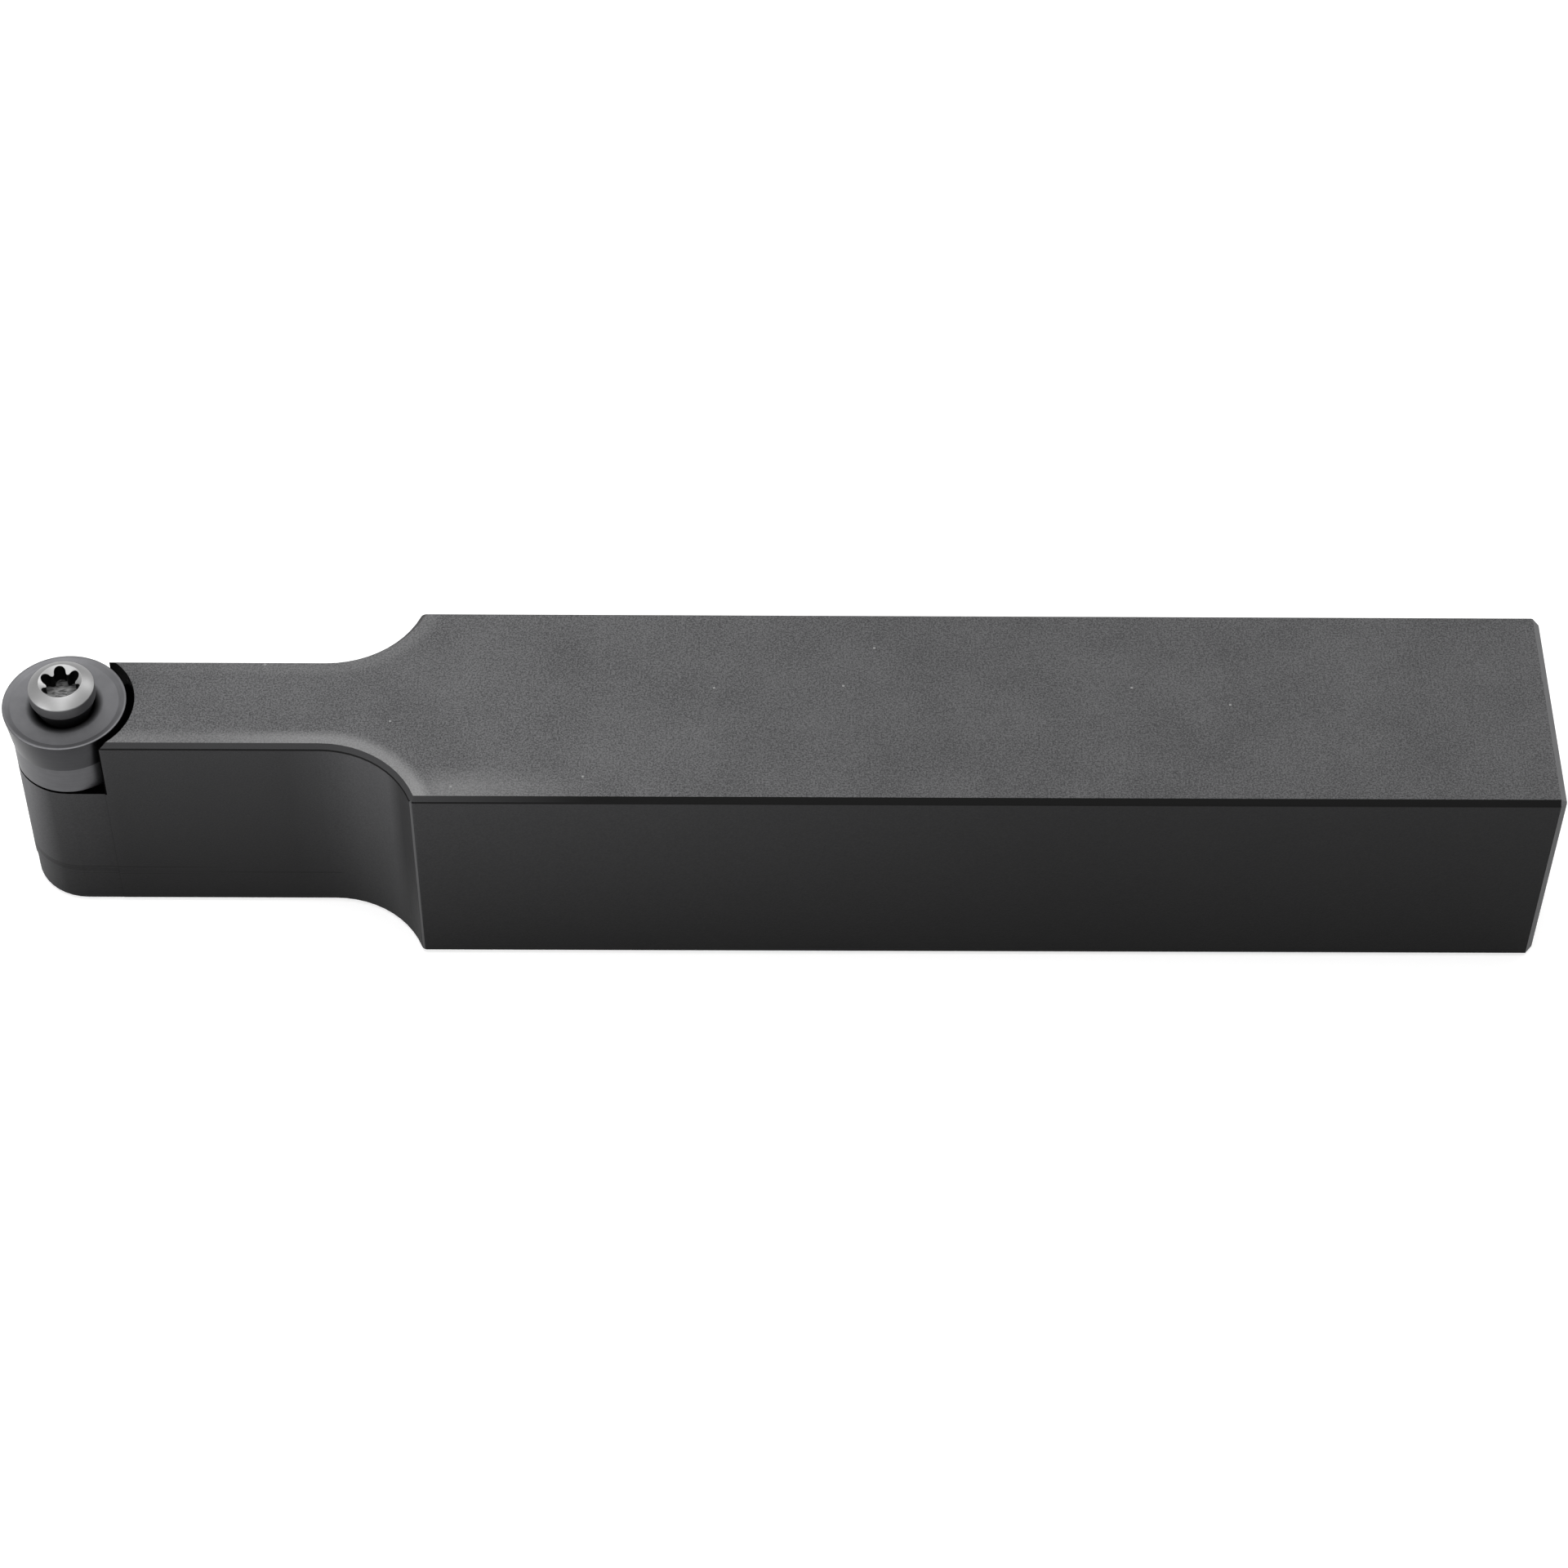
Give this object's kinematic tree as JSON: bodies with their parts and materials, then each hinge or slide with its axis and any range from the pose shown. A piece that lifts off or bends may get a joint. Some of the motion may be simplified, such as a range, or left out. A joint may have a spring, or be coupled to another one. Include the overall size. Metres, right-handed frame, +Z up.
{
  "type": "turning tool holder",
  "caption": "Square-shank turning tool holder with a slim neck and a round cutting insert clamped by a six-lobe screw on a round shim.",
  "frame": {"origin": "centre of the underside of the whole tool", "axes": "+X from the cutting tip towards the clamped end of the shank, +Y across the shank, +Z up, out of the insert's top face"},
  "size_m": [0.125, 0.02, 0.0226],
  "materials": {
    "blackened_steel": "satin",
    "shim_carbide": "satin",
    "shim_screw_steel": "satin",
    "insert_carbide": "satin",
    "clamp_screw_steel": "satin"
  },
  "bodies": {
    "tool": {"holder": "blackened_steel", "shim": "shim_carbide", "shim_screw": "shim_screw_steel"},
    "round_insert": {"insert": "insert_carbide"},
    "screw": {"clamp_screw": "clamp_screw_steel"}
  },
  "joints": [
    {"name": "insert_indexing", "type": "hinge", "parent": "tool", "child": "round_insert", "pos_m": [-0.0575, 0, 0.0184], "axis": [0, 0, 1], "continuous": true},
    {"name": "clamp_screw_lift", "type": "slide", "parent": "tool", "child": "screw", "axis": [0, 0, 1], "range_m": [0, 0.0126]}
  ]
}
